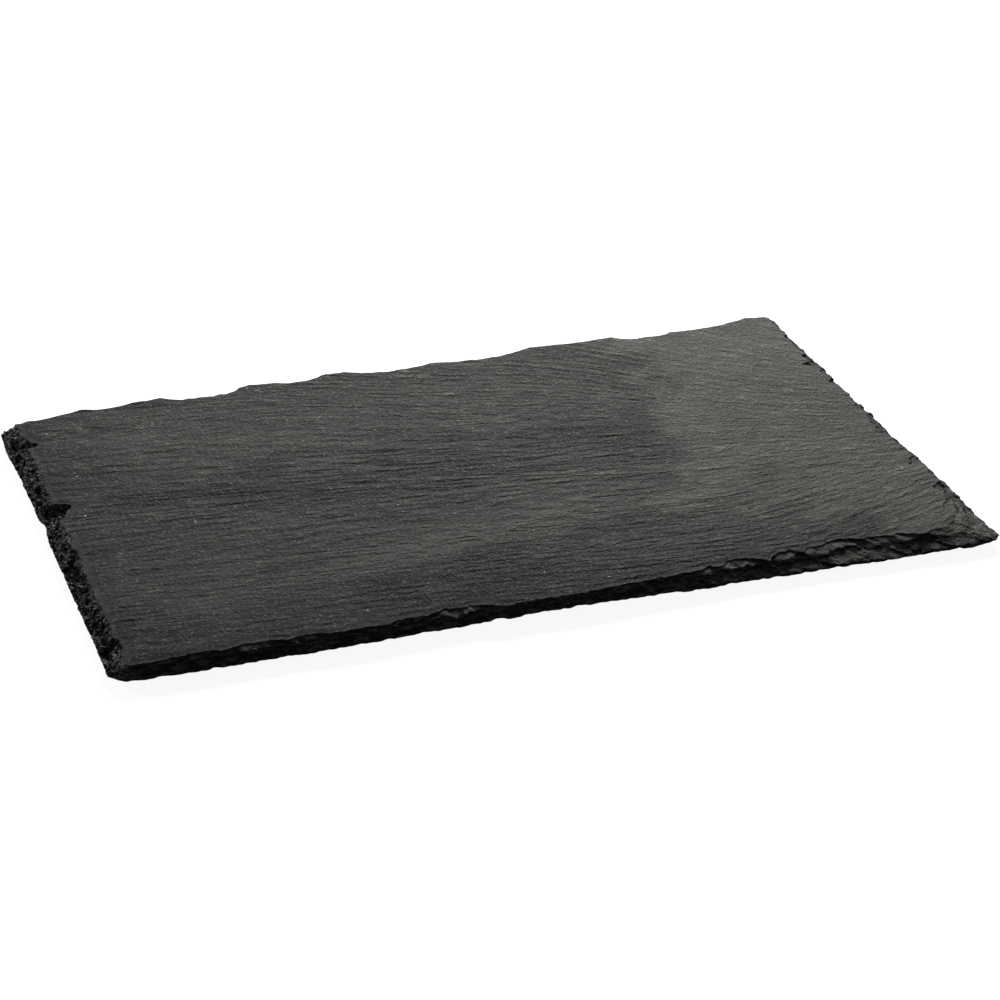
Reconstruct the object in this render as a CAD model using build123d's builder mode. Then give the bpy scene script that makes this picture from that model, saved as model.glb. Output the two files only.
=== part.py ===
from build123d import *

import os
from collections import namedtuple
from itertools import accumulate

# Rectangular slate serving board: one dressed slate slab standing on four self-adhesive rubber feet.
# Millimetres. +X runs along the board, +Y to its back and +Z up. The origin is on the table, under the
# middle of the board.

# The slab, measured over its lower outline
board_length = 330.0
board_width = 210.0
slate_thickness = 5.2

# The dressed edge rises steeply from the lower outline to a waist, and leans in from there to the arris,
# the edge of the serving face
waist_height = 2.6
waist_lean = 0.3  # how much of the lean from the lower outline to the arris is reached at the waist
front_left_break = 5.0  # how much of a corner of the lower outline is knocked off, along both its sides
front_right_break = 3.0
back_right_break = 4.0
back_left_break = 5.0
arris_corner_break = 1.5

# The self-adhesive feet
foot_diameter = 12.7
foot_tip_diameter = 10.4
foot_height = 3.0
foot_rim_radius = 0.5
foot_inset = 28.0  # from the lower outline to a foot's centre, along both sides
adhesive_thickness = 0.3
adhesive_margin = 0.4  # bare rubber left round the adhesive

# One blow of the dressing hammer: its width along the side, how far inside the lower outline the cusp
# after it stands, and how much deeper the arris is scooped out between its two cusps. The first of each
# side has no width and gives the cusp that the side starts from.
Blow = namedtuple("Blow", "width inset bite")

front_blows = (
    Blow(0, 0.5, 0),
    Blow(12.3, 0.6, 0.2),
    Blow(19, 0.6, 1.4),
    Blow(25, 1.0, 1.7),
    Blow(14, 0.5, 1.7),
    Blow(21, 0.7, 0.3),
    Blow(14, 2.0, 1.2),
    Blow(27, 0.5, 3.2),
    Blow(34, 1.0, 0.3),
    Blow(28, 2.0, 0.6),
    Blow(22, 3.0, 0.7),
    Blow(17.5, 2.2, 4.2),
    Blow(14.5, 5.5, 3.6),
    Blow(37, 6.2, 3.4),
    Blow(9, 3.9, 0.3),
    Blow(13.5, 8.5, 0.8),
)
right_blows = (
    Blow(0, 14.0, 0),
    Blow(4.5, 10.8, 0.3),
    Blow(7.5, 11.8, 0.6),
    Blow(6, 7.2, 0.3),
    Blow(5.5, 6.1, 0.3),
    Blow(4.5, 8.5, 0.3),
    Blow(4, 3.0, 0.2),
    Blow(15, 3.2, 0.4),
    Blow(8, 3.6, 3.2),
    Blow(20, 4.4, 0.6),
    Blow(9, 4.8, 2.8),
    Blow(12, 4.0, 1.4),
    Blow(18, 3.2, 1.6),
    Blow(28, 4.6, 0.6),
    Blow(14, 4.2, 1.8),
    Blow(24, 3.0, 0.6),
    Blow(16, 3.5, 0.5),
)
back_blows = (
    Blow(0, 2.2, 0),
    Blow(8, 0.9, 0.3),
    Blow(35.5, 4.7, 1.8),
    Blow(25.5, 2.0, 3.8),
    Blow(36, 0.9, 0.9),
    Blow(14, 5.4, 0.3),
    Blow(29, 3.2, 0.9),
    Blow(36, 0.5, 3.8),
    Blow(9, 0.4, 0.1),
    Blow(20.5, 1.8, 3.2),
    Blow(10, 0.8, 0.3),
    Blow(4.5, 2.2, 0.1),
    Blow(32, 1.6, 5.8),
    Blow(12, 2.5, 0.2),
    Blow(20, 2.2, 2.2),
    Blow(26.5, 8.6, 0.4),
)
left_blows = (
    Blow(0, 5.0, 0),
    Blow(10.5, 5.4, 0.6),
    Blow(9, 10.0, 0.3),
    Blow(2, 5.4, 0.2),
    Blow(8, 5.4, 0.5),
    Blow(4, 5.6, 1.2),
    Blow(20, 5.2, 0.8),
    Blow(17.5, 5.2, 0.6),
    Blow(2.5, 12.0, 0.3),
    Blow(13, 5.6, 0.4),
    Blow(8, 5.4, 0.5),
    Blow(11, 5.4, 1.6),
    Blow(24, 5.2, 0.8),
    Blow(22, 5.4, 0.6),
    Blow(26, 5.2, 0.8),
    Blow(13, 5.4, 1.8),
    Blow(7, 5.2, 0.2),
)

# Where things stand
underside = foot_height + adhesive_thickness
half_length = board_length / 2
half_width = board_width / 2
foot_x = half_length - foot_inset
foot_y = half_width - foot_inset

# The four sides in turn, anticlockwise from above: the corner each starts from and how much of it is
# knocked off, the way the side runs, its length and its blows
Side = namedtuple("Side", "corner corner_break along length blows")
sides = (
    Side(Vector(-half_length, -half_width), front_left_break, Vector(1, 0), board_length, front_blows),
    Side(Vector(half_length, -half_width), front_right_break, Vector(0, 1), board_width, right_blows),
    Side(Vector(half_length, half_width), back_right_break, Vector(-1, 0), board_length, back_blows),
    Side(Vector(-half_length, half_width), back_left_break, Vector(0, -1), board_width, left_blows),
)


def inward(side):
    """The way into the board from one side."""
    return side.along.rotate(Axis.Z, 90)


def side_cusps(number, lean):
    """The cusps of one side, for a lean from 0 at the lower outline to 1 at the arris."""
    side = sides[number]
    side_before = sides[number - 1]
    side_after = sides[(number + 1) % len(sides)]
    arris_start = arris_corner_break + side_before.blows[-1].inset
    arris_finish = arris_corner_break + side_after.blows[0].inset
    start = side.corner_break + lean * (arris_start - side.corner_break)
    finish = side.length - side_after.corner_break - lean * (arris_finish - side_after.corner_break)
    reaches = list(accumulate(blow.width for blow in side.blows))
    spread = (finish - start) / reaches[-1]
    return [
        side.corner + side.along * (start + reach * spread) + inward(side) * (lean * blow.inset)
        for reach, blow in zip(reaches, side.blows)
    ]


def draw_outline(lean):
    """Draws the slab's outline: straight at the lower outline, scooped more and more towards the arris."""
    rows = [side_cusps(number, lean) for number in range(len(sides))]
    for side, row, next_row in zip(sides, rows, rows[1:] + rows[:1]):
        for start, end, blow in zip(row, row[1:], side.blows[1:]):
            if lean == 0:
                Line(start, end)
            else:
                ThreePointArc(start, (start + end) / 2 + inward(side) * (lean * blow.bite), end)
        Line(row[-1], next_row[0])


os.makedirs("parts", exist_ok=True)

# The slate slab: its lower outline, waist and arris, ruled together
with BuildPart() as slab:
    for height, lean in ((0, 0), (waist_height, waist_lean), (slate_thickness, 1)):
        with BuildSketch(Plane.XY.offset(underside + height)):
            with BuildLine():
                draw_outline(lean)
            make_face()
    loft(ruled=True)
slab.part.label = "slate_slab"
export_step(slab.part, "parts/slate_slab.step")

# The feet and the adhesive that holds each of them under the slab
for row, y in (("front", -foot_y), ("back", foot_y)):
    for column, x in (("left", -foot_x), ("right", foot_x)):
        resting_face = Plane((x, y, 0))
        glued_face = Plane((x, y, foot_height))

        with BuildPart() as foot:
            with BuildSketch(resting_face):
                Circle(foot_tip_diameter / 2)
            with BuildSketch(glued_face):
                Circle(foot_diameter / 2)
            loft(ruled=True)
            fillet(foot.edges().group_by(Axis.Z)[0], foot_rim_radius)
        foot.part.label = f"rubber_foot_{row}_{column}"
        export_step(foot.part, f"parts/{foot.part.label}.step")

        with BuildPart() as adhesive:
            with BuildSketch(glued_face):
                Circle(foot_diameter / 2 - adhesive_margin)
            extrude(amount=adhesive_thickness)
        adhesive.part.label = f"adhesive_disc_{row}_{column}"
        export_step(adhesive.part, f"parts/{adhesive.part.label}.step")
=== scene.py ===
import math
from collections import namedtuple

import bpy
import numpy as np
from mathutils import Matrix, Vector, noise


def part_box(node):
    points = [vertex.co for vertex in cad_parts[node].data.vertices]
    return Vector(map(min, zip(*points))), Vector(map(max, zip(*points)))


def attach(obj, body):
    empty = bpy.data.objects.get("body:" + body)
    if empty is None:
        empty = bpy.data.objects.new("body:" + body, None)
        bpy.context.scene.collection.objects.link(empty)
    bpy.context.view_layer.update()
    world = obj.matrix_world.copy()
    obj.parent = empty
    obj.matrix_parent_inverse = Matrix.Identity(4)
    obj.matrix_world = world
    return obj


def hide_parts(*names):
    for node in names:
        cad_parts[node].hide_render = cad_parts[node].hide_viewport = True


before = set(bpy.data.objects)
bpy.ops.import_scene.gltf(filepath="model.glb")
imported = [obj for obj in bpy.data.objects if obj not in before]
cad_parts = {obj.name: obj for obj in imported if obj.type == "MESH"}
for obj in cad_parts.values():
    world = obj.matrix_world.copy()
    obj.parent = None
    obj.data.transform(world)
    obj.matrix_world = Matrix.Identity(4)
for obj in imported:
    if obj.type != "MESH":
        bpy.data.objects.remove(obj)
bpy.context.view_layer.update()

# A slate serving board: the split and dressed slab, and the rubber feet under it. Metres, in the frame
# of the CAD.
MM = 0.001
noise.seed_set(1)  # the facets' tilts come out the same in each run

# The slab's box, and its four sides in turn, anticlockwise from above
SLAB_LOW, SLAB_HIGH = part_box("slate_slab")
THICKNESS = SLAB_HIGH.z - SLAB_LOW.z
HALF = np.array(SLAB_HIGH)[:2]
Side = namedtuple("Side", "corner along inward")
SIDES = (
    Side(np.array((-1, -1)), np.array((1, 0)), np.array((0, 1))),
    Side(np.array((1, -1)), np.array((0, 1)), np.array((-1, 0))),
    Side(np.array((1, 1)), np.array((-1, 0)), np.array((0, -1))),
    Side(np.array((-1, 1)), np.array((0, -1)), np.array((1, 0))),
)
FRONT, RIGHT, BACK, LEFT = range(4)

# How finely the slab is modelled
COLUMNS, ROWS = 160, 200  # cells of the serving face along and across the board
UNDER_COLUMNS, UNDER_ROWS = 80, 100
EDGE_CUTS = 2  # cuts of each cell's side where the serving face meets the broken edge
EDGE_ROWS = 22  # rows of cells down the broken edge
UNDER_LEVEL = EDGE_ROWS + 1

# How rough a break is: the size and the depth of its flat facets and of its grains, and the depth of
# its hollows. The left edge breaks in grains, the others in leaves.
Break = namedtuple("Break", "facet_size facet_depth grain_size grain_depth hollow_depth")
LEAFY = Break(7.0 * MM, 0.8 * MM, 1.6 * MM, 0.12 * MM, 0.0)
GRAINY = Break(2.8 * MM, 1.0 * MM, 1.6 * MM, 0.85 * MM, 1.2 * MM)

# The profile of an edge that breaks in leaves, down from the arris: the share of its rows, how far down
# they are, and where they are: 0 at the arris, 1 at the rim of the ledge below it and 2 at the lower
# outline
LEAF_PROFILE = (
    (0.00, 0.00, 0.00),
    (0.12, 0.10, 0.05),
    (0.34, 0.27, 1.00),
    (0.48, 0.48, 1.10),
    (0.85, 0.84, 1.90),
    (1.00, 1.00, 2.00),
)
LEDGE_DEPTH = LEAF_PROFILE[1][1]

# A lump has fallen out of the left edge near its front end, and left a flat facet in front of it
CORNER_HOLLOW = np.array((-161.8, -86.0, 6.0)) * MM
CORNER_FACET = np.array((-160.8, -95.0, 6.0)) * MM

# The front arris is torn into facets, and small wedge-shaped chips cut into the front and the right one
TORN_SIZE, TORN_DEPTH = 5 * MM, 1.9 * MM
CHIP_PITCH, CHIP_DEPTH = 9 * MM, 4.5 * MM

# A foot: its width where it rests over its width under the slab, its rounded rims, and the ring that it
# rests on, with a dish inside
FOOT_TAPER = 10.4 / 12.7
FOOT_RIM, FOOT_TOP_RIM = 0.6 * MM, 0.15 * MM
FOOT_RING, FOOT_DISH = 1.4 * MM, 0.35 * MM


def grain_slope(x, y):
    """Slope of the grain's lines in plan: along the board on the left, fanned out at the right end."""
    back = np.maximum(0, y + 20 * MM)
    left = -0.09 - 3.0 * back * smooth_step(-110 * MM, -30 * MM, x)
    right = np.clip(-0.10 - 10.5 * (y + 22 * MM), -0.9, 0.4)
    border = 62 * MM + 0.2 * (60 * MM - y)
    return left + (right - left) * smooth_step(-28 * MM, 28 * MM, x - border)


def noise_at(scale, *coordinates, seed=0.0):
    """Smooth noise from about -1 to 1 at many places, with features about a scale across."""
    rows = [np.asarray(c, float) / s for c, s in zip(coordinates, scale)]
    rows += [np.zeros_like(rows[0])] * (3 - len(rows))
    return np.array([noise.noise((a + seed, b - seed, c + seed)) for a, b, c in zip(*rows)])


def streaks_at(x, y, width, length, seed):
    """Smooth noise drawn out along the grain, from about -1 to 1."""
    slope = grain_slope(x, y)
    step = 0.8 * width / np.hypot(1, slope)
    count = max(2, round(length / (0.8 * width)))
    shifts = np.arange(count) - (count - 1) / 2
    rows = [noise_at((width, width), x + k * step, y + k * step * slope, seed=seed) for k in shifts]
    return sum(rows) / math.sqrt(count)


def facets_at(points, size, seed):
    """A broken relief from about -1 to 1: flat facets, each with its own tilt and height."""
    relief = np.empty(len(points))
    for i, place in enumerate(points / size + seed):
        centre = noise.voronoi(place)[1][0]
        tilt = noise.noise_vector(centre * 7.3)
        relief[i] = (Vector(place) - centre).dot(tilt) + 0.6 * noise.noise(centre * 3.1)
    return 1.6 * relief


def grains_at(points, size, seed):
    """A relief of rounded grains with creases between them, from about -1 to 1."""
    return np.array([1.1 - 2.4 * noise.voronoi(place)[0][0] for place in points / size + seed])


def smooth_step(low, high, value):
    """0 below low, 1 above high, and a smooth rise between."""
    share = np.clip((value - low) / (high - low), 0, 1)
    return share * share * (3 - 2 * share)


# The CAD slab's outlines


def cad_outline(height):
    """The points of the CAD slab's outline at one height, anticlockwise."""
    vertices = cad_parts["slate_slab"].data.vertices
    places = {(round(v.co.x, 7), round(v.co.y, 7)) for v in vertices if abs(v.co.z - height) < 1e-6}
    return np.array(sorted(places, key=lambda place: math.atan2(place[1], place[0])))


def side_profiles(height):
    """For each side, rows of place along it and inset from the slab's box, from corner to corner."""
    outline = cad_outline(height)
    bearings = np.arctan2(outline[:, 1], outline[:, 0])
    corners = [outline[np.argsort(outline @ side.corner)[-2:]].mean(0) for side in SIDES]
    profiles = []
    for side, start, finish in zip(SIDES, corners, corners[1:] + corners[:1]):
        first = math.atan2(start[1], start[0])
        turns = (bearings - first) % math.tau
        between = turns < (math.atan2(finish[1], finish[0]) - first) % math.tau
        row = outline[between][np.argsort(turns[between])]
        places = np.vstack([start, row, finish]) - side.corner * HALF
        profiles.append(np.column_stack([places @ side.along, places @ side.inward]))
    return profiles


ARRIS = side_profiles(SLAB_HIGH.z)
LOWER = side_profiles(SLAB_LOW.z)


def side_points(profiles, number, share):
    """Points at shares of the way along one side of an outline."""
    rows = profiles[number]
    along = rows[0, 0] + share * (rows[-1, 0] - rows[0, 0])
    inset = np.interp(along, rows[:, 0], rows[:, 1])
    side = SIDES[number]
    return side.corner * HALF + along[:, None] * side.along + inset[:, None] * side.inward


def outward(points):
    """The way out of the board near its edge, turning smoothly round the corners."""
    core = HALF - 17 * MM
    way = points - np.clip(points, -core, core)
    return way / np.linalg.norm(way, axis=1)[:, None]


# The slab's relief


def split_relief(x, y, seed):
    """Height of the split face over its mean plane: slow swells, and leaves that end in low steps."""
    swell = 0.30 * MM * noise_at((120 * MM, 70 * MM), x, y, seed=seed)
    wave = 0.20 * MM * streaks_at(x, y, 14 * MM, 50 * MM, seed + 3)
    leaf = streaks_at(x, y, 7 * MM, 30 * MM, seed + 7)
    leaf += 0.5 * streaks_at(x, y, 3.2 * MM, 13 * MM, seed + 11)
    steps = 4 * leaf
    floor = np.floor(steps)
    leaves = 0.04 * MM * (floor + smooth_step(0.0, 0.5, steps - floor))
    return swell + wave + leaves


# The slab


def only(piece):
    """Makes one piece the selected and the active one."""
    bpy.ops.object.select_all(action="DESELECT")
    piece.select_set(True)
    bpy.context.view_layer.objects.active = piece


def select_border():
    """Selects the open edges of the mesh in edit mode."""
    bpy.ops.mesh.select_mode(type="EDGE")
    bpy.ops.mesh.select_all(action="DESELECT")
    bpy.ops.mesh.select_non_manifold()


def slab_blank():
    """A square blank, two units wide: serving face, rows of edge a unit apart, and underside."""
    bpy.ops.object.select_all(action="DESELECT")
    bpy.ops.mesh.primitive_grid_add(x_subdivisions=COLUMNS, y_subdivisions=ROWS, size=2)
    blank = bpy.context.object
    bpy.ops.object.mode_set(mode="EDIT")
    select_border()
    bpy.ops.mesh.subdivide(number_cuts=EDGE_CUTS)
    select_border()
    for _ in range(EDGE_ROWS):
        bpy.ops.mesh.extrude_edges_move(TRANSFORM_OT_translate={"value": (0, 0, -1)})
    bpy.ops.object.mode_set(mode="OBJECT")
    bpy.ops.object.select_all(action="DESELECT")
    bpy.ops.mesh.primitive_grid_add(
        x_subdivisions=UNDER_COLUMNS, y_subdivisions=UNDER_ROWS, size=2, location=(0, 0, -UNDER_LEVEL)
    )
    blank.select_set(True)
    bpy.context.view_layer.objects.active = blank
    bpy.ops.object.join()
    bpy.ops.object.mode_set(mode="EDIT")
    select_border()
    bpy.ops.mesh.bridge_edge_loops()
    bpy.ops.mesh.select_all(action="SELECT")
    bpy.ops.mesh.normals_make_consistent(inside=False)
    bpy.ops.object.mode_set(mode="OBJECT")
    return blank


def spread(ring, u, v):
    """Spreads a patch of points between the four sides of a ring."""
    front, right = ring(FRONT, u), ring(RIGHT, v)
    back, left = ring(BACK, 1 - u), ring(LEFT, 1 - v)
    zero, one = np.zeros(1), np.ones(1)
    u, v = u[:, None], v[:, None]
    corners = (1 - u) * (1 - v) * ring(FRONT, zero) + u * (1 - v) * ring(FRONT, one)
    corners = corners + u * v * ring(BACK, zero) + (1 - u) * v * ring(BACK, one)
    return (1 - v) * front + v * back + (1 - u) * left + u * right - corners


def side_shares(way):
    """How much each way out belongs to the front, the right, the back and the left side."""
    x, y = way.T
    return np.maximum(np.array([-y, x, y, -x]), 0) ** 2


def grainy_share(way):
    """How much of the break is grainy, as on the left edge, and not leafy."""
    return smooth_step(0.35, 0.75, side_shares(way)[LEFT])


def near(points, centre, reach):
    """1 at a place, falling to 0 within about twice a reach of it."""
    return np.exp(-(((points - centre) / reach) ** 2).sum(1))


def hollows_at(points):
    """1 where lumps have fallen out of the grainy edge, 0 elsewhere."""
    lumps = noise_at((5 * MM,) * 3, *points.T, seed=83.0) + near(points, CORNER_HOLLOW, 3.2 * MM)
    return smooth_step(0.12, 0.5, lumps - 0.8 * near(points, CORNER_FACET, 3.5 * MM))


def break_relief(points, way):
    """How far the broken edge stands out at each point from its smooth shape."""
    share = grainy_share(way)
    total = np.zeros(len(points))
    for kind, weight in ((LEAFY, 1 - share), (GRAINY, share)):
        chosen = weight > 0
        some = points[chosen]
        relief = kind.facet_depth * facets_at(some * (1, 1, 2), kind.facet_size, 3.7)
        relief += kind.grain_depth * grains_at(some, kind.grain_size, 8.1)
        if kind.hollow_depth:
            relief -= kind.hollow_depth * hollows_at(some)
        total[chosen] += weight[chosen] * relief
    return total


def wedge_chips(along):
    """How far small chips cut into an arris: each deepens slowly and ends in a short wall."""
    place = along / CHIP_PITCH + 0.8 * noise_at((25 * MM,), along, seed=17.0)
    number = np.floor(place)
    depth = np.maximum(0, noise_at((0.37,), number, seed=5.0) + 0.15)
    return CHIP_DEPTH * depth * smooth_step(0.45, 0.9, place - number)


def arris_ring(number, share):
    """Points of the arris, ragged as the break below it is, torn at the front, with small chips."""
    even = np.linspace(0, 1, 1600)
    points = side_points(ARRIS, number, even)
    way = outward(points)
    stand = 0.5 * break_relief(np.column_stack([points, np.full(len(even), SLAB_HIGH.z)]), way)
    stand += 0.25 * MM * noise_at((2.5 * MM, 2.5 * MM), *points.T, seed=71.0)
    if number == FRONT:
        x = points[:, 0]
        torn = 0.35 * smooth_step(-155 * MM, -140 * MM, x) + 0.65 * smooth_step(40 * MM, 75 * MM, x)
        level_points = np.column_stack([points, np.zeros(len(even))])
        facets = np.convolve(facets_at(level_points, TORN_SIZE, 2.3), np.ones(7) / 7, mode="same")
        stand += TORN_DEPTH * torn * facets
        between = smooth_step(-155 * MM, -140 * MM, x) * (1 - smooth_step(60 * MM, 75 * MM, x))
        stand -= 0.55 * wedge_chips(x) * between
    if number == RIGHT:
        y = points[:, 1]
        between = smooth_step(-70 * MM, -55 * MM, y) * (1 - smooth_step(85 * MM, 98 * MM, y))
        stand -= wedge_chips(y) * between
    points = points + way * stand[:, None]
    return np.column_stack([np.interp(share, even, column) for column in points.T])


def under_ring(number, share):
    """Points of the underside's inner ring, a few millimetres inside the lower outline."""
    points = side_points(LOWER, number, share)
    return points - outward(points) * 6 * MM


def side_pits(number, share):
    """How much deeper the arris is at each place than on average round it: chips and notches."""
    even = np.linspace(0, 1, 600)
    ring = arris_ring(number, even) - SIDES[number].corner * HALF
    inset = ring @ SIDES[number].inward
    length = np.ptp(ring @ SIDES[number].along)
    window = round(600 * 36 * MM / length)
    padded = np.pad(inset, window, mode="edge")
    smooth = np.convolve(padded, np.ones(window) / window, mode="same")[window:-window]
    return np.interp(share, even, inset - smooth)


def lower_outline(lower, way):
    """The lower outline as it breaks: hollow in mid front, swollen elsewhere, and lumpy."""
    x, y = lower.T / MM
    front, right, back, left = side_shares(way)
    hollow = 2.4 * np.exp(-(((x + 5) / 28) ** 2) / 2)
    bulge = 0.6 * np.exp(-(((x - 137) / 20) ** 2) / 2)
    belly = 1.0 * np.exp(-(((y + 55) / 18) ** 2) / 2)
    shoulder = 0.8 * np.exp(-(((y - 84) / 12) ** 2) / 2)
    nick = 1.4 * np.exp(-(((y - 15) / 4) ** 2) / 2)
    lumps = 0.7 * noise_at((5 * MM, 5 * MM), *lower.T, seed=41.0)
    lumps += 0.8 * noise_at((14 * MM, 14 * MM), *lower.T)
    lumps += 0.5 * noise_at((2.0 * MM, 2.0 * MM), *lower.T, seed=53.0)
    swell = (1.7 - hollow + bulge) * front + (0.9 + belly) * right + (0.5 + shoulder - nick) * left
    swell += 1.4 * right_tip(lower)
    swell += lumps * (front + 0.6 * right + 0.6 * back + 0.35 * left)
    return lower + way * (swell * MM)[:, None]


def right_tip(points):
    """1 at the front right corner, falling to 0 away from it."""
    x, y = points.T / MM
    return np.exp(-(((x - 165) / 14) ** 2 + ((y + 105) / 14) ** 2))


def ledge_rim(along, lean, pit):
    """How far out of the arris the rim of the ledge below it stands, as a share of the edge's lean."""
    ragged = 0.30 * noise_at((11 * MM,), along, seed=31.0)
    ragged += 0.12 * noise_at((3.5 * MM,), along, seed=37.0)
    return np.clip(0.32 + ragged + 0.8 * pit / lean, 0.02, 0.9)


def edge_points(number, share, level):
    """Places of the broken edge's points, row by row below the arris, and which are in hollows."""
    arris, lower = np.empty((len(share), 2)), np.empty((len(share), 2))
    pit = np.empty(len(share))
    for side in range(len(SIDES)):
        chosen = number == side
        arris[chosen] = arris_ring(side, share[chosen])
        lower[chosen] = side_points(LOWER, side, share[chosen])
        pit[chosen] = side_pits(side, share[chosen])
    way = outward(lower)
    tip = right_tip(lower)
    lower = lower_outline(lower, way)
    lean = np.linalg.norm(arris - lower, axis=1) + 0.2 * MM
    row = level / EDGE_ROWS

    # Leaves: a riser under the arris, then a ledge, a riser, a rough slope and a riser
    rows, depths, places = np.array(LEAF_PROFILE).T
    leaf_depth, leaf_place = np.interp(row, rows, depths), np.interp(row, rows, places)
    along = lower @ np.array((1.0, 0.7))
    riser = 0.05 + 0.10 * smooth_step(-0.25, 0.45, noise_at((13 * MM,), along, seed=47.0))
    below = riser + (leaf_depth - LEDGE_DEPTH) * (1 - riser) / (1 - LEDGE_DEPTH)
    leaf_depth = np.where(leaf_depth < LEDGE_DEPTH, leaf_depth * riser / LEDGE_DEPTH, below)
    rim = ledge_rim(along, lean, pit)
    leaf_fall = np.minimum(leaf_place, 1) * rim + np.maximum(leaf_place - 1, 0) * (1 - rim)

    # Grains: an even slope, with a high wall where a notch cuts in
    wall = 0.75 * smooth_step(0.8 * MM, 3.5 * MM, pit)
    grain_fall = np.clip((row - wall) / (1 - wall), 0, 1)

    even = np.maximum(grainy_share(way), 0.9 * tip)
    fall = leaf_fall + even * (grain_fall - leaf_fall)
    depth = leaf_depth + even * (row - leaf_depth)

    # The lower arris is flaked here and there, and rounded at the tip
    flaked = noise_at((6 * MM, 6 * MM), *lower.T, seed=61.0)
    flaked += 0.5 * noise_at((2.5 * MM, 2.5 * MM), *lower.T)
    height = THICKNESS - 0.45 * MM * smooth_step(0.05, 0.7, flaked) * (1 - 0.6 * grainy_share(way))
    height -= 1.0 * MM * tip**4
    smooth = np.column_stack([arris + (lower - arris) * fall[:, None], SLAB_HIGH.z - depth * height])
    slope = np.column_stack([way * THICKNESS, lean])
    slope /= np.linalg.norm(slope, axis=1)[:, None]
    kept = smooth_step(0.0, 0.4, depth) * (1 - 0.8 * smooth_step(0.85, 1, depth))
    kept *= (1 - 0.5 * tip) * (1 - 0.7 * near(smooth, CORNER_FACET, 3.5 * MM))
    points = smooth + slope * (kept * break_relief(smooth, way))[:, None]
    last = level == EDGE_ROWS
    points[last, :2] -= way[last] * 0.3 * MM
    points[last, 2] = smooth[last, 2]
    points[:, 2] = np.clip(points[:, 2], SLAB_LOW.z, SLAB_HIGH.z - 0.03 * MM)
    return points, grainy_share(way) * hollows_at(smooth)


def feet_clearance(points):
    """0 under a foot's pad, rising to 1 away from all the feet."""
    clear = np.ones(len(points))
    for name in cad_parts:
        if name.startswith("rubber_foot"):
            low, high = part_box(name)
            middle = np.array((low + high) / 2)[:2]
            gap = np.linalg.norm(points - middle, axis=1)
            clear *= smooth_step((high.x - low.x) / 2, high.x - low.x, gap)
    return clear


def dress(slab):
    """Gives the blank its real shape: outlines, relief and broken edges."""
    mesh = slab.data
    blank = np.empty(len(mesh.vertices) * 3)
    mesh.vertices.foreach_get("co", blank)
    blank = blank.reshape(-1, 3)
    u, v = (blank[:, 0] + 1) / 2, (blank[:, 1] + 1) / 2
    level = np.rint(-blank[:, 2]).astype(int)
    places = np.empty_like(blank)

    top = level == 0
    points = spread(arris_ring, u[top], v[top])
    places[top] = np.column_stack([points, SLAB_HIGH.z + split_relief(*points.T, seed=20.0)])

    under = level == UNDER_LEVEL
    points = spread(under_ring, u[under], v[under])
    relief = 0.5 * split_relief(*points.T, seed=55.0) * feet_clearance(points)
    places[under] = np.column_stack([points, SLAB_LOW.z + relief])

    edge = ~top & ~under
    gaps = np.column_stack([v, 1 - u, 1 - v, u])[edge]
    number = gaps.argmin(1)
    share = np.choose(number, [u[edge], v[edge], 1 - u[edge], 1 - v[edge]])
    # hollow goes to the material, which paints the grainy edge's hollows near black as painted shadow
    hollow, rim = np.zeros(len(places)), np.zeros(len(places))
    places[edge], hollow[edge] = edge_points(number, share, level[edge])
    # rim: a band a few millimetres wide along the arris, which the material lightens as a painted
    # highlight and where it smooths the streaks' bump
    gap = np.minimum(u[top] * 2 * HALF[0], v[top] * 2 * HALF[1])
    gap += 1.5 * MM * noise_at((12 * MM, 12 * MM), *places[top, :2].T, seed=91.0)
    rim[top] = 1 - smooth_step(1.0 * MM, 5.0 * MM, gap)

    mesh.vertices.foreach_set("co", places.ravel())
    bearing = np.arctan(grain_slope(places[:, 0], places[:, 1]))
    ways = np.column_stack([np.cos(bearing), np.sin(bearing), np.zeros(len(places))])
    mesh.attributes.new("grain", "FLOAT_VECTOR", "POINT").data.foreach_set("vector", ways.ravel())
    broken, grainy = np.zeros(len(places)), np.zeros(len(places))
    broken[edge] = 1
    grainy[edge] = grainy_share(outward(places[edge, :2]))
    shares = {"broken": broken, "grainy": grainy, "hollow": hollow, "rim": rim}
    for name, values in shares.items():
        mesh.attributes.new(name, "FLOAT", "POINT").data.foreach_set("value", values)
    mesh.update()


def slate_slab():
    """The slab of split slate with its dressed edges."""
    slab = slab_blank()
    slab.name = "split_slate_slab"
    dress(slab)
    only(slab)
    bpy.ops.object.shade_smooth_by_angle(angle=math.radians(40))
    slab.data.materials.append(split_slate())
    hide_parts("slate_slab")
    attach(slab, "root")


# The feet


def select_faces(piece, chosen):
    """Selects faces of a piece in edit mode, by a test of each face."""
    bpy.ops.object.mode_set(mode="EDIT")
    bpy.ops.mesh.select_mode(type="FACE")
    bpy.ops.mesh.select_all(action="DESELECT")
    bpy.ops.object.mode_set(mode="OBJECT")
    for face in piece.data.polygons:
        face.select = chosen(face)
    bpy.ops.object.mode_set(mode="EDIT")


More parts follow.
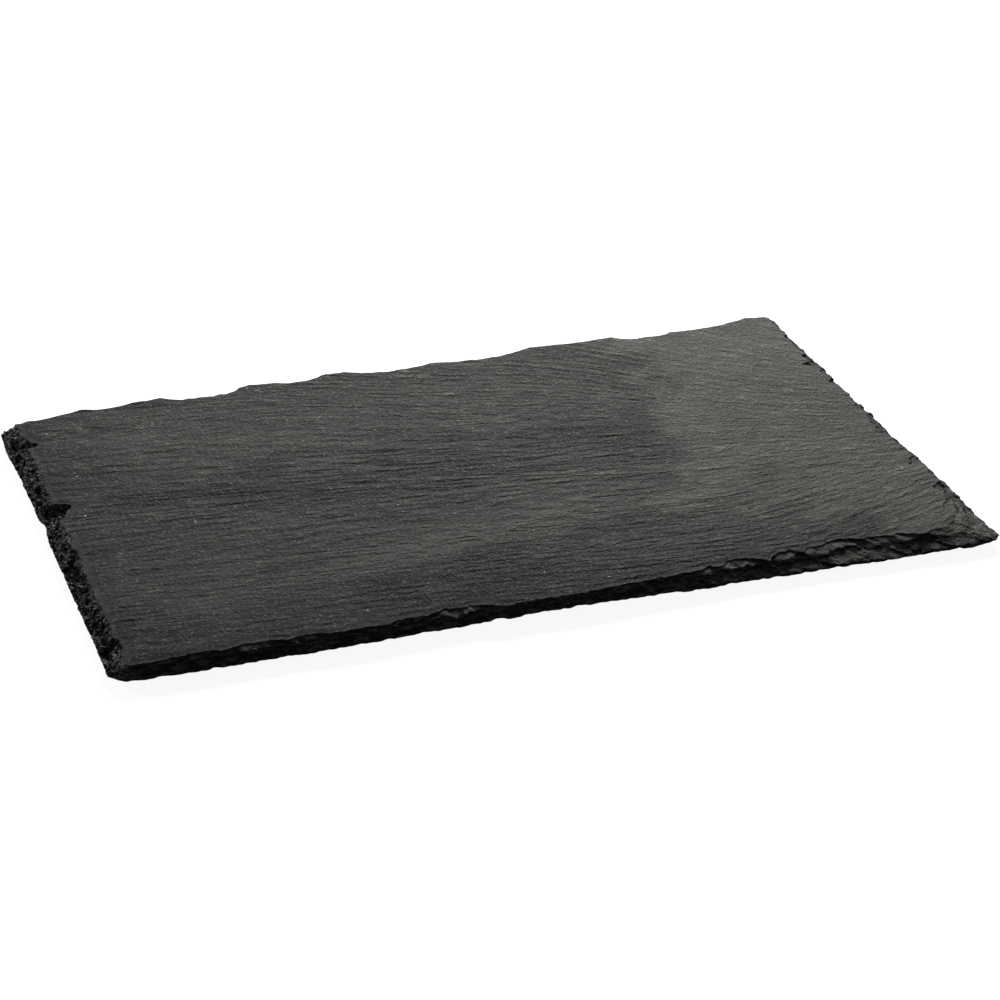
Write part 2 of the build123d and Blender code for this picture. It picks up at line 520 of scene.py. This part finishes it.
def rubber_foot(name, rubber):
    """One foot: a tapered disc with a rounded rim, dished below so that only a ring rests."""
    low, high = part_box(name)
    width, height = high.x - low.x, high.z - low.z
    bpy.ops.object.select_all(action="DESELECT")
    middle = (low + high) / 2
    bpy.ops.mesh.primitive_cylinder_add(vertices=96, radius=width / 2, depth=height, location=middle)
    foot = bpy.context.object
    foot.name = f"moulded_{name}"
    bpy.ops.object.transform_apply(location=True, rotation=True, scale=True)
    select_faces(foot, lambda face: face.normal.z < -0.9)
    bpy.ops.transform.resize(value=(FOOT_TAPER, FOOT_TAPER, 1), center_override=middle)
    bpy.ops.mesh.bevel(offset=FOOT_RIM, segments=6, profile=0.5, affect="EDGES")
    bpy.ops.object.mode_set(mode="OBJECT")
    select_faces(foot, lambda face: face.normal.z < -0.99 and face.area > (width / 4) ** 2)
    bpy.ops.mesh.inset(thickness=FOOT_RING)
    bpy.ops.mesh.inset(thickness=0.5 * MM)
    bpy.ops.transform.translate(value=(0, 0, FOOT_DISH))
    bpy.ops.mesh.inset(thickness=1.8 * MM)
    bpy.ops.transform.translate(value=(0, 0, 0.1 * MM))
    bpy.ops.object.mode_set(mode="OBJECT")
    select_faces(foot, lambda face: face.normal.z > 0.99)
    bpy.ops.mesh.bevel(offset=FOOT_TOP_RIM, segments=3, profile=0.5, affect="EDGES")
    bpy.ops.object.mode_set(mode="OBJECT")
    only(foot)
    bpy.ops.object.shade_smooth_by_angle(angle=math.radians(35))
    foot.data.materials.append(rubber)
    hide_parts(name)
    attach(foot, "root")


# Materials

# Settings of a Map Range that rises smoothly from 0 at its input 1 to 1 at its input 2, and of a Mix of
# the colours at its inputs 6 and 7
SMOOTH = {"interpolation_type": "SMOOTHSTEP"}
BLEND = {"output": 2, "data_type": "RGBA"}


def colour(code):
    """A colour written as sRGB hex, as the linear red, green, blue and alpha that a socket takes."""
    shares = [int(code[i : i + 2], 16) / 255 for i in (1, 3, 5)]
    return [s / 12.92 if s <= 0.04045 else ((s + 0.055) / 1.055) ** 2.4 for s in shares] + [1.0]


def add(tree, kind, inputs=(), output=0, **settings):
    """Adds a node with its settings, and gives one of its outputs. An input is a value or an output."""
    made = tree.nodes.new(kind)
    for name, value in settings.items():
        setattr(made, name, value)
    for socket, value in dict(inputs).items():
        if isinstance(value, bpy.types.NodeSocket):
            tree.links.new(value, made.inputs[socket])
        else:
            made.inputs[socket].default_value = value
    return made.outputs[output]


def weigh(tree, start, *terms):
    """A start and a sum of terms, each a value and its weight."""
    total = start
    for value, weight in terms:
        total = add(tree, "ShaderNodeMath", {0: value, 1: weight, 2: total}, operation="MULTIPLY_ADD")
    return total


def patches(tree, place, size, detail=2.0):
    """Noise with features of a real size, spread over 0 to 1."""
    inputs = {"Vector": place, "Scale": 1 / size, "Detail": detail}
    cloud = add(tree, "ShaderNodeTexNoise", inputs, output="Fac")
    return add(tree, "ShaderNodeMapRange", {"Value": cloud, "From Min": 0.3, "From Max": 0.7})


def new_material(name):
    """A material with a plain Principled shader: the material, its tree and its shader."""
    material = bpy.data.materials.new(name)
    material.use_nodes = True
    tree = material.node_tree
    return material, tree, tree.nodes["Principled BSDF"]


def split_slate():
    """Split slate: dark warm grey clay stone, matt with a faint sheen, streaked along its grain."""
    material, tree, shader = new_material("split_slate")
    grain = add(tree, "ShaderNodeAttribute", output="Vector", attribute_name="grain")
    broken = add(tree, "ShaderNodeAttribute", output="Fac", attribute_name="broken")
    grainy = add(tree, "ShaderNodeAttribute", output="Fac", attribute_name="grainy")
    # hollow: the grainy edge's hollows, painted near black below as painted shadow
    hollow = add(tree, "ShaderNodeAttribute", output="Fac", attribute_name="hollow")
    # rim: the band along the arris, lightened below as a painted highlight
    rim = add(tree, "ShaderNodeAttribute", output="Fac", attribute_name="rim")
    place = add(tree, "ShaderNodeTexCoord", output="Object")
    wander = add(tree, "ShaderNodeTexNoise", {"Vector": place, "Scale": 1 / (3 * MM)}, output="Color")
    wander = add(tree, "ShaderNodeVectorMath", {0: wander, 1: (0.5,) * 3}, operation="SUBTRACT")
    inputs = {0: wander, 1: (2.0 * MM,) * 3, 2: place}
    wandering = add(tree, "ShaderNodeVectorMath", inputs, operation="MULTIPLY_ADD")

    def streaks(width, length):
        """Noise drawn out along the grain into streaks of a real width and length, about 0 to 1."""
        count = max(2, round(length / (0.8 * width)))
        total = 0.0
        for i in range(count):
            shift = (i - (count - 1) / 2) * 0.8 * width
            inputs = {0: grain, 1: (shift,) * 3, 2: wandering}
            spot = add(tree, "ShaderNodeVectorMath", inputs, operation="MULTIPLY_ADD")
            inputs = {"Vector": spot, "Scale": 1 / width, "Detail": 1.0}
            cloud = add(tree, "ShaderNodeTexNoise", inputs, output="Fac")
            total = weigh(tree, total, (cloud, 1 / count))
        reach = 0.25 / math.sqrt(0.7 * count)
        inputs = {"Value": total, "From Min": 0.5 - reach, "From Max": 0.5 + reach}
        return add(tree, "ShaderNodeMapRange", inputs, clamp=False)

    # Short and long ripples along the grain, bands of tone along it, thin leaves that end in low steps,
    # fine grit and broad clouds
    ripples = streaks(2.3 * MM, 4.8 * MM)
    long_ripples = streaks(2.4 * MM, 14 * MM)
    bands = streaks(5.0 * MM, 30 * MM)
    broad_bands = streaks(12 * MM, 60 * MM)
    levels = weigh(tree, 0.0, (streaks(3.6 * MM, 32 * MM), 3.5))
    level = add(tree, "ShaderNodeMath", {0: levels}, operation="FLOOR")
    step = weigh(tree, levels, (level, -1.0))
    step = add(tree, "ShaderNodeMapRange", {0: step, 1: 0.0, 2: 0.25}, **SMOOTH)
    leaves = weigh(tree, level, (step, 1.0))
    grit = patches(tree, place, 0.9 * MM, 1.0)
    clouds = patches(tree, place, 60 * MM, 3.0)
    blotches = patches(tree, place, 14 * MM, 2.0)

    # The right end is a little paler, and pale ribbons of the stone cross the board
    spot = add(tree, "ShaderNodeSeparateXYZ", {0: place}).node.outputs
    front = add(tree, "ShaderNodeMath", {0: 5 * MM, 1: spot["Y"]}, operation="SUBTRACT")
    front = add(tree, "ShaderNodeMath", {0: front, 1: 0.0}, operation="MAXIMUM")
    border = weigh(tree, -115 * MM, (spot["X"], 1.0), (front, -0.42))
    border = weigh(tree, border, (clouds, 50 * MM), (blotches, 25 * MM))
    pale = add(tree, "ShaderNodeMapRange", {0: border, 1: -10 * MM, 2: 22 * MM}, **SMOOTH)
    across = weigh(tree, -4.45, (spot["Y"], math.tau / (112 * MM)), (clouds, 1.6))
    ribbons = add(tree, "ShaderNodeMath", {0: across}, operation="COSINE")

    # A pale leaf over the middle ends in a sharp edge at the front, with a paler patch to its right
    edge = weigh(tree, 60 * MM, (spot["Y"], 1.0), (spot["X"], -0.15), (bands, -6 * MM))
    step = add(tree, "ShaderNodeMapRange", {0: edge, 1: -2 * MM, 2: 2 * MM}, **SMOOTH)
    fade = add(tree, "ShaderNodeMapRange", {0: edge, 1: 10 * MM, 2: 40 * MM}, **SMOOTH)
    leaf = weigh(tree, -0.5, (step, 1.5), (fade, -1.0))
    begun = add(tree, "ShaderNodeMapRange", {0: spot["X"], 1: -130 * MM, 2: -50 * MM}, **SMOOTH)
    ended = add(tree, "ShaderNodeMapRange", {0: spot["X"], 1: 25 * MM, 2: 65 * MM}, **SMOOTH)
    span = weigh(tree, begun, (ended, -1.0))
    leaf = add(tree, "ShaderNodeMath", {0: leaf, 1: span}, operation="MULTIPLY")
    inputs = {0: wandering, 1: (64 * MM, -46 * MM, 0)}
    gap = add(tree, "ShaderNodeVectorMath", inputs, operation="SUBTRACT")
    gap = add(tree, "ShaderNodeVectorMath", {0: gap, 1: (61, 89, 0)}, operation="MULTIPLY")
    gap = add(tree, "ShaderNodeVectorMath", {0: gap}, output="Value", operation="LENGTH")
    beyond = add(tree, "ShaderNodeMapRange", {0: gap, 1: 0.4, 2: 1.2}, **SMOOTH)
    patch = weigh(tree, 1.0, (beyond, -1.0))

    # The tone: painted highlights, as bright flecks and as threads along the ripples' crests, bolder
    # right of the middle, over all that is above
    middle = add(tree, "ShaderNodeMapRange", {0: spot["X"], 1: -60 * MM, 2: 40 * MM}, **SMOOTH)
    filled = add(tree, "ShaderNodeMath", {0: middle, 1: ribbons}, operation="MULTIPLY")
    past_left_end = add(tree, "ShaderNodeMapRange", {0: spot["X"], 1: -170 * MM, 2: -110 * MM}, **SMOOTH)
    # flecks and threads: painted highlights, glints on the grit and on the ripples' crests
    painted_glint_flecks = add(tree, "ShaderNodeMapRange", {0: grit, 1: 0.65, 2: 1.1}, **SMOOTH)
    painted_crest_highlights = add(tree, "ShaderNodeMapRange", {0: ripples, 1: 0.6, 2: 1.3}, **SMOOTH)
    bold_painted_crest_highlights = add(tree, "ShaderNodeMath", {0: painted_crest_highlights, 1: middle}, operation="MULTIPLY")
    tone = weigh(
        tree,
        -0.27,
        (grit, 0.25),
        (painted_glint_flecks, 1.6),
        (painted_crest_highlights, 1.05),
        (bold_painted_crest_highlights, 0.7),
        (clouds, 0.25),
        (blotches, 0.20),
        (bands, 0.13),
        (broad_bands, 0.46),
        (pale, 0.85),
        (ribbons, 0.20),
        (middle, 0.12),
        (filled, -0.12),
        (leaf, 0.36),
        (patch, 0.80),
        (past_left_end, 0.18),
        # rim: the band along the arris, lightened as a painted highlight
        (rim, 0.15),
        # the ripples in colour: lighter on their crests, a painted highlight, and darker in their
        # hollows
        (ripples, 0.3),
        (long_ripples, 0.3),
    )
    tone = weigh(tree, 0.0, (tone, 0.15))
    split = add(tree, "ShaderNodeMix", {0: tone, 6: colour("#0e0e0d"), 7: colour("#a4a29d")}, **BLEND)

    # Fresh breaks: dark flakes with the paler ends of leaves between them, bold on the shaded front,
    # where the pale ends are partly their own tone and partly painted highlights, more even towards the
    # back, crumbled at the right end, pale grains on the grainy edge with painted shade in the gaps
    # between them and painted shadow in its hollows, and level ledges painted paler, partly the split
    # face's tone and partly painted light
    chips = patches(tree, place, 1.1 * MM, 2.0)
    layered = add(tree, "ShaderNodeVectorMath", {0: wandering, 1: (1, 1, 5)}, operation="MULTIPLY")
    layers = patches(tree, layered, 4.5 * MM, 2.0)
    right_end = add(tree, "ShaderNodeMapRange", {0: spot["X"], 1: 148 * MM, 2: 160 * MM}, **SMOOTH)
    crumbled = add(tree, "ShaderNodeMath", {0: right_end, 1: chips}, operation="MULTIPLY")
    # the leaves' pale ends: partly their own tone, partly painted highlights, bold on the shaded front
    # and more even towards the lit back
    leaf_ends_and_painted_highlights = add(tree, "ShaderNodeMapRange", {0: layers, 1: 0.3, 2: 1.0}, **SMOOTH)
    flakes = weigh(tree, -0.12, (chips, 0.35), (leaf_ends_and_painted_highlights, 0.85), (crumbled, 0.45), (right_end, -0.12))
    fresh = add(tree, "ShaderNodeMix", {0: flakes, 6: colour("#222221"), 7: colour("#83817d")}, **BLEND)
    flakes = weigh(tree, 0.0, (chips, 0.5), (leaf_ends_and_painted_highlights, 0.5))
    plain = add(tree, "ShaderNodeMix", {0: flakes, 6: colour("#343332"), 7: colour("#6a6864")}, **BLEND)
    backward = add(tree, "ShaderNodeMapRange", {0: spot["Y"], 1: -50 * MM, 2: 30 * MM}, **SMOOTH)
    fresh = add(tree, "ShaderNodeMix", {0: backward, 6: fresh, 7: plain}, **BLEND)
    # pale grains with the gaps between them painted near black: painted shade in the creases
    grains = add(tree, "ShaderNodeTexVoronoi", {"Vector": wandering, "Scale": 1 / (1.5 * MM)})
    gaps = add(tree, "ShaderNodeMapRange", {0: grains, 1: 0.34, 2: 0.62}, **SMOOTH)
    crumbs_with_painted_shade = add(tree, "ShaderNodeMix", {0: gaps, 6: colour("#93918d"), 7: colour("#030303")}, **BLEND)
    # the hollows painted near black: painted shadow
    share = weigh(tree, 0.0, (hollow, 0.85))
    crumbs_with_painted_shade = add(tree, "ShaderNodeMix", {0: share, 6: crumbs_with_painted_shade, 7: colour("#030303")}, **BLEND)
    share = weigh(tree, 0.0, (grainy, 0.85))
    fresh = add(tree, "ShaderNodeMix", {0: share, 6: fresh, 7: crumbs_with_painted_shade}, **BLEND)
    # faces of the breaks that look up, as level ledges do, painted paler: partly the split face's tone,
    # partly painted light
    facing = add(tree, "ShaderNodeNewGeometry", output="Normal")
    upward = add(tree, "ShaderNodeSeparateXYZ", {0: facing}, output="Z")
    ledge_tone_and_painted_light = weigh(tree, upward, (grainy, -1.0), (right_end, -0.12), (backward, -0.2))
    ledge_tone_and_painted_light = add(tree, "ShaderNodeMapRange", {0: ledge_tone_and_painted_light, 1: 0.75, 2: 0.95}, **SMOOTH)
    share = weigh(tree, 0.0, (ledge_tone_and_painted_light, 0.5))
    fresh = add(tree, "ShaderNodeMix", {0: share, 6: fresh, 7: colour("#83817d")}, **BLEND)
    base = add(tree, "ShaderNodeMix", {0: broken, 6: split, 7: fresh}, **BLEND)

    # White specks of another mineral here and there, a few of them bright
    inputs = {"Vector": place, "Scale": 1 / (3.4 * MM)}
    crystals = add(tree, "ShaderNodeTexVoronoi", inputs).node.outputs
    kinds = add(tree, "ShaderNodeSeparateColor", {0: crystals["Color"]}).node.outputs
    size = add(tree, "ShaderNodeMapRange", {0: kinds["Red"], 1: 0.3, 2: 1.0}, **SMOOTH)
    inside = weigh(tree, 0.0, (size, 0.13), (crystals["Distance"], -1.0))
    inside = add(tree, "ShaderNodeMapRange", {0: inside, 1: 0.0, 2: 0.03}, **SMOOTH)
    bright = add(tree, "ShaderNodeMapRange", {0: kinds["Green"], 1: 0.75, 2: 0.95}, **SMOOTH)
    speck = weigh(tree, 0.0, (inside, weigh(tree, 0.3, (bright, 0.7))))
    base = add(tree, "ShaderNodeMix", {0: speck, 6: base, 7: colour("#c4c1bc")}, **BLEND)
    inputs = {"Vector": place, "Scale": 1 / (1.3 * MM)}
    inside = weigh(tree, 0.28, (add(tree, "ShaderNodeTexVoronoi", inputs), -1.0))
    inputs = {0: patches(tree, place, 17 * MM, 1.0), 1: patches(tree, place, 50 * MM, 1.0)}
    cluster = add(tree, "ShaderNodeMath", inputs, operation="MULTIPLY")
    cluster = add(tree, "ShaderNodeMapRange", {0: cluster, 1: 0.8, 2: 1.0}, **SMOOTH)
    inside = add(tree, "ShaderNodeMapRange", {0: inside, 1: 0.0, 2: 0.1}, **SMOOTH)
    dust = add(tree, "ShaderNodeMath", {0: inside, 1: cluster}, operation="MULTIPLY")
    share = weigh(tree, 0.0, (dust, 0.5))
    base = add(tree, "ShaderNodeMix", {0: share, 6: base, 7: colour("#c4c1bc")}, **BLEND)
    tree.links.new(base, shader.inputs["Base Color"])

    # The streaks are long and bold over most of the board, short and rough at the right end, lower at
    # the left end, most of all at its front corner, and nearly smoothed out along the arris
    bold = weigh(tree, 0.0, (ripples, 0.29), (long_ripples, 0.29), (leaves, 0.06), (grit, 0.05))
    rough = weigh(tree, 0.0, (ripples, 0.28), (long_ripples, 0.10), (leaves, 0.045), (grit, 0.11))
    split_height = add(tree, "ShaderNodeMix", {"Factor": pale, 2: bold, 3: rough}, data_type="FLOAT")
    corner = weigh(tree, spot["X"], (spot["Y"], 1.2))
    past_corner = add(tree, "ShaderNodeMapRange", {0: corner, 1: -240 * MM, 2: -100 * MM}, **SMOOTH)
    rightward = add(tree, "ShaderNodeMapRange", {0: spot["X"], 1: -110 * MM, 2: 20 * MM}, **SMOOTH)
    strength = weigh(tree, 0.58, (past_corner, 0.25), (rightward, 0.20), (rim, -0.55))
    split_height = add(tree, "ShaderNodeMath", {0: split_height, 1: strength}, operation="MULTIPLY")
    fresh_height = weigh(tree, 0.0, (chips, 0.07), (crumbled, 0.14), (layers, 0.16))
    inputs = {"Factor": broken, 2: split_height, 3: fresh_height}
    height = add(tree, "ShaderNodeMix", inputs, data_type="FLOAT")
    bump = add(tree, "ShaderNodeBump", {"Strength": 1.0, "Distance": 2.2 * MM, "Height": height})
    tree.links.new(bump, shader.inputs["Normal"])
    shader.inputs["Roughness"].default_value = 0.8
    shader.inputs["IOR"].default_value = 1.5
    shader.inputs["Specular IOR Level"].default_value = 0.08
    return material


def moulded_rubber():
    """Moulded rubber: black, dull, with the fine grain of its mould."""
    material, tree, shader = new_material("moulded_rubber")
    place = add(tree, "ShaderNodeTexCoord", output="Object")
    mould = patches(tree, place, 0.25 * MM)
    base = add(tree, "ShaderNodeMix", {0: mould, 6: colour("#101010"), 7: colour("#2a2a29")}, **BLEND)
    tree.links.new(base, shader.inputs["Base Color"])
    bump = add(tree, "ShaderNodeBump", {"Strength": 0.6, "Distance": 0.04 * MM, "Height": mould})
    tree.links.new(bump, shader.inputs["Normal"])
    shader.inputs["Roughness"].default_value = 0.7
    shader.inputs["IOR"].default_value = 1.52
    return material


def acrylic_adhesive():
    """Acrylic foam adhesive: a pale, cloudy, slightly tacky sheet."""
    material, tree, shader = new_material("acrylic_adhesive")
    place = add(tree, "ShaderNodeTexCoord", output="Object")
    cells = patches(tree, place, 0.5 * MM)
    base = add(tree, "ShaderNodeMix", {0: cells, 6: colour("#9c988c"), 7: colour("#d6d2c6")}, **BLEND)
    tree.links.new(base, shader.inputs["Base Color"])
    shader.inputs["Roughness"].default_value = 0.45
    shader.inputs["IOR"].default_value = 1.47
    return material


# The stage: floor, lights and camera


def studio_floor():
    """A pale floor, white to the camera where it is lit, that throws little light back up."""
    bpy.ops.object.select_all(action="DESELECT")
    bpy.ops.mesh.primitive_plane_add(size=12)
    floor = bpy.context.object
    floor.name = "studio_floor"
    material, tree, shader = new_material("studio_floor_paper")
    tree.nodes.remove(shader)
    rays = add(tree, "ShaderNodeLightPath").node.outputs
    seen = {0: rays["Is Camera Ray"], 1: rays["Is Glossy Ray"]}
    seen = {0: add(tree, "ShaderNodeMath", seen, operation="MAXIMUM"), 1: rays["Is Transmission Ray"]}
    seen = add(tree, "ShaderNodeMath", seen, operation="MAXIMUM")
    dull = add(tree, "ShaderNodeBsdfDiffuse", {"Color": colour("#2a2a2a")})
    paper = add(tree, "ShaderNodeBsdfDiffuse", {"Color": colour("#b4b4b4")})
    lift = add(tree, "ShaderNodeEmission", {"Color": (1, 1, 1, 1), "Strength": 0.92})
    white = add(tree, "ShaderNodeAddShader", {0: paper, 1: lift})
    sheet = add(tree, "ShaderNodeMixShader", {0: seen, 1: dull, 2: white})
    clear = add(tree, "ShaderNodeBsdfTransparent")
    below = add(tree, "ShaderNodeNewGeometry", output="Backfacing")
    sheet = add(tree, "ShaderNodeMixShader", {0: below, 1: sheet, 2: clear})
    tree.links.new(sheet, tree.nodes["Material Output"].inputs["Surface"])
    floor.data.materials.append(material)


def soft_box(name, place, size, power):
    """A soft box that looks at the board."""
    bpy.ops.object.light_add(type="AREA", location=place)
    lamp = bpy.context.object
    lamp.name = name
    lamp.rotation_euler = (-Vector(place)).to_track_quat("-Z", "Y").to_euler()
    lamp.data.shape = "RECTANGLE"
    lamp.data.size, lamp.data.size_y = size
    lamp.data.energy = power


def studio_world():
    """A dim, even surrounding, white where the camera sees it."""
    world = bpy.data.worlds.new("studio_world")
    bpy.context.scene.world = world
    world.use_nodes = True
    tree = world.node_tree
    seen = add(tree, "ShaderNodeLightPath", output="Is Camera Ray")
    strength = add(tree, "ShaderNodeMapRange", {"Value": seen, "To Min": 0.05, "To Max": 1.0})
    background = tree.nodes["Background"]
    background.inputs["Color"].default_value = (1, 1, 1, 1)
    tree.links.new(strength, background.inputs["Strength"])


def photo_camera():
    """The camera at the photograph's viewing angle."""
    azimuth, elevation = math.radians(-18.557), math.radians(26.57)
    distance, shift_right, shift_up = 1164.96 * MM, 7.42 * MM, -6.46 * MM
    level = Vector((math.sin(azimuth), -math.cos(azimuth), 0))
    back = level * math.cos(elevation) + Vector((0, 0, math.sin(elevation)))
    right = Vector((0, 0, 1)).cross(level)
    up = back.cross(right)
    place = back * distance + right * shift_right + up * shift_up + Vector((0, 0, SLAB_LOW.z))
    bpy.ops.object.camera_add()
    camera = bpy.context.object
    camera.matrix_world = Matrix.Translation(place) @ Matrix((right, up, back)).transposed().to_4x4()
    camera.data.sensor_width = 36
    camera.data.lens = 110.31
    bpy.context.scene.camera = camera


slate_slab()
rubber = moulded_rubber()
adhesive = acrylic_adhesive()
for name, node in list(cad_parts.items()):
    if name.startswith("adhesive_disc"):
        node.data.materials.clear()
        node.data.materials.append(adhesive)
    if name.startswith("rubber_foot"):
        rubber_foot(name, rubber)

studio_floor()
soft_box("key_soft_box", (0.26, 0.62, 0.45), (0.5, 0.35), 8.4)
soft_box("left_fill", (-0.8, 0.5, 0.35), (0.4, 0.3), 1.8)
studio_world()
photo_camera()
bpy.context.scene.view_settings.view_transform = "Standard"
